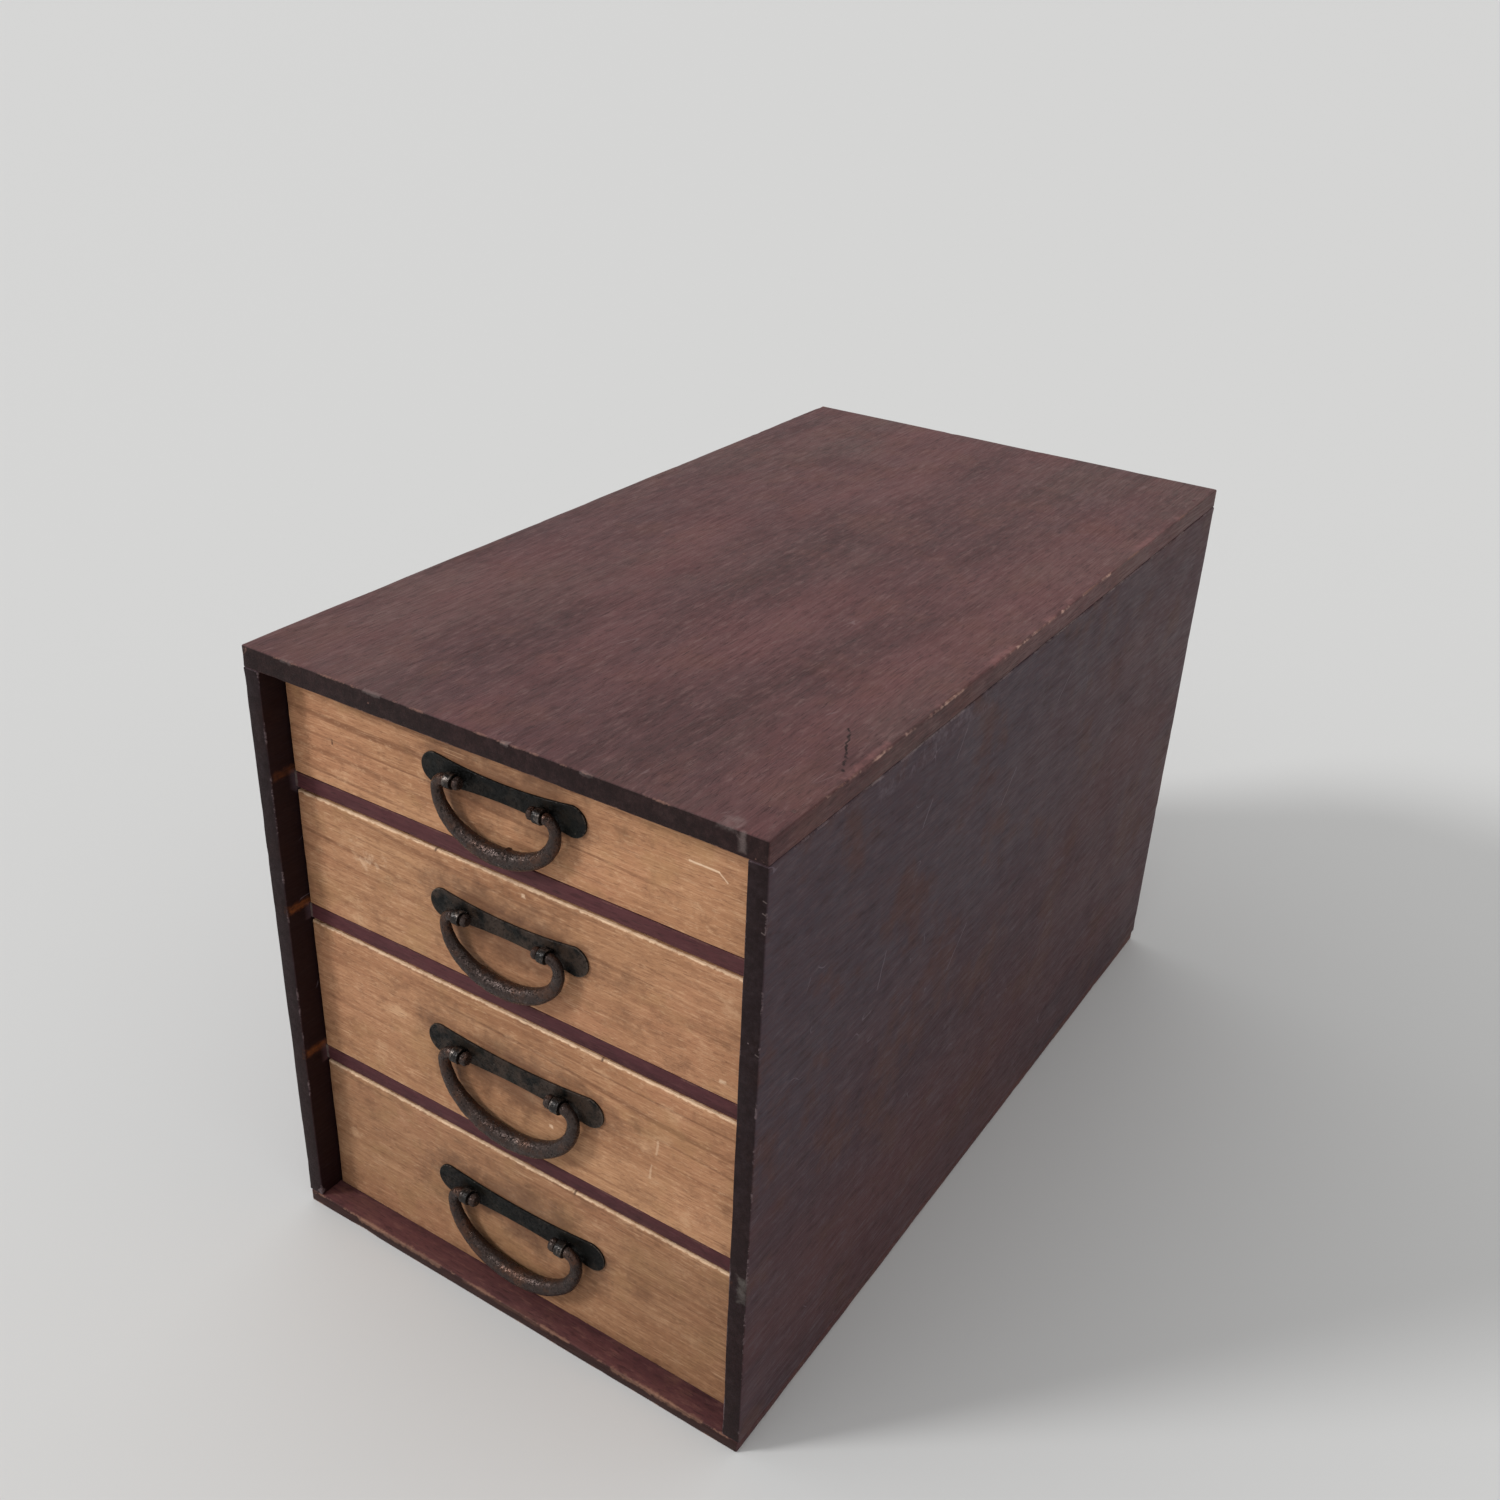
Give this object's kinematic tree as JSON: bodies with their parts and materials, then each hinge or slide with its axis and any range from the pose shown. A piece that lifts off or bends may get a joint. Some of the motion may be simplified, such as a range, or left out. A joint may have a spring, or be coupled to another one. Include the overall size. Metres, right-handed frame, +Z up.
{
  "type": "drawer cabinet",
  "caption": "Deep tabletop chest of stained boards with stacked sliding drawers of light wood, each with a forged iron drop handle on a waisted plate.",
  "frame": {"origin": "middle of the base, on the surface the chest stands on", "axes": "+Z up, the drawers face -Y and slide out along -Y, +X to the right for someone facing them"},
  "size_m": [0.2824, 0.5124, 0.335],
  "materials": {
    "case_wood": "dark purple-brown stain, satin, worn at the edges",
    "drawer_front_wood": "bare light wood with fine grain, darkened by handling",
    "drawer_wood": "bare planed light wood",
    "peg_wood": "split bare wood",
    "iron": "forged, blackened, brown with age"
  },
  "bodies": {
    "case": {"upper_divider": "case_wood", "middle_divider": "case_wood", "lower_divider": "case_wood", "top_board": "case_wood", "bottom_board": "case_wood", "left_side": "case_wood", "right_side": "case_wood", "back_panel": "case_wood", "top_pegs": "peg_wood", "bottom_pegs": "peg_wood", "back_pegs": "peg_wood"},
    "top_drawer": {"top_drawer_front": "drawer_front_wood", "top_drawer_left_side": "drawer_wood", "top_drawer_right_side": "drawer_wood", "top_drawer_back": "drawer_wood", "top_drawer_bottom": "drawer_wood", "top_drawer_pegs": "peg_wood", "top_handle_plate": "iron", "top_eye_pins": "iron"},
    "top_bail": {"top_bail": "iron"},
    "upper_drawer": {"upper_drawer_front": "drawer_front_wood", "upper_drawer_left_side": "drawer_wood", "upper_drawer_right_side": "drawer_wood", "upper_drawer_back": "drawer_wood", "upper_drawer_bottom": "drawer_wood", "upper_drawer_pegs": "peg_wood", "upper_handle_plate": "iron", "upper_eye_pins": "iron"},
    "upper_bail": {"upper_bail": "iron"},
    "lower_drawer": {"lower_drawer_front": "drawer_front_wood", "lower_drawer_left_side": "drawer_wood", "lower_drawer_right_side": "drawer_wood", "lower_drawer_back": "drawer_wood", "lower_drawer_bottom": "drawer_wood", "lower_drawer_pegs": "peg_wood", "lower_handle_plate": "iron", "lower_eye_pins": "iron"},
    "lower_bail": {"lower_bail": "iron"},
    "bottom_drawer": {"bottom_drawer_front": "drawer_front_wood", "bottom_drawer_left_side": "drawer_wood", "bottom_drawer_right_side": "drawer_wood", "bottom_drawer_back": "drawer_wood", "bottom_drawer_bottom": "drawer_wood", "bottom_drawer_pegs": "peg_wood", "bottom_handle_plate": "iron", "bottom_eye_pins": "iron"},
    "bottom_bail": {"bottom_bail": "iron"}
  },
  "joints": [
    {"name": "top_drawer_slide", "type": "slide", "parent": "case", "child": "top_drawer", "axis": [0, -1, 0], "range_m": [0, 0.4]},
    {"name": "top_bail_hinge", "type": "hinge", "parent": "top_drawer", "child": "top_bail", "pos_m": [0, -0.24815, 0.30055], "axis": [-1, 0, 0], "range_deg": [0, 145]},
    {"name": "upper_drawer_slide", "type": "slide", "parent": "case", "child": "upper_drawer", "axis": [0, -1, 0], "range_m": [0, 0.4]},
    {"name": "upper_bail_hinge", "type": "hinge", "parent": "upper_drawer", "child": "upper_bail", "pos_m": [0, -0.24815, 0.22995], "axis": [-1, 0, 0], "range_deg": [0, 178]},
    {"name": "lower_drawer_slide", "type": "slide", "parent": "case", "child": "lower_drawer", "axis": [0, -1, 0], "range_m": [0, 0.4]},
    {"name": "lower_bail_hinge", "type": "hinge", "parent": "lower_drawer", "child": "lower_bail", "pos_m": [0, -0.24815, 0.1486], "axis": [-1, 0, 0], "range_deg": [0, 178]},
    {"name": "bottom_drawer_slide", "type": "slide", "parent": "case", "child": "bottom_drawer", "axis": [0, -1, 0], "range_m": [0, 0.4]},
    {"name": "bottom_bail_hinge", "type": "hinge", "parent": "bottom_drawer", "child": "bottom_bail", "pos_m": [0, -0.24815, 0.0582], "axis": [-1, 0, 0], "range_deg": [0, 178]}
  ]
}
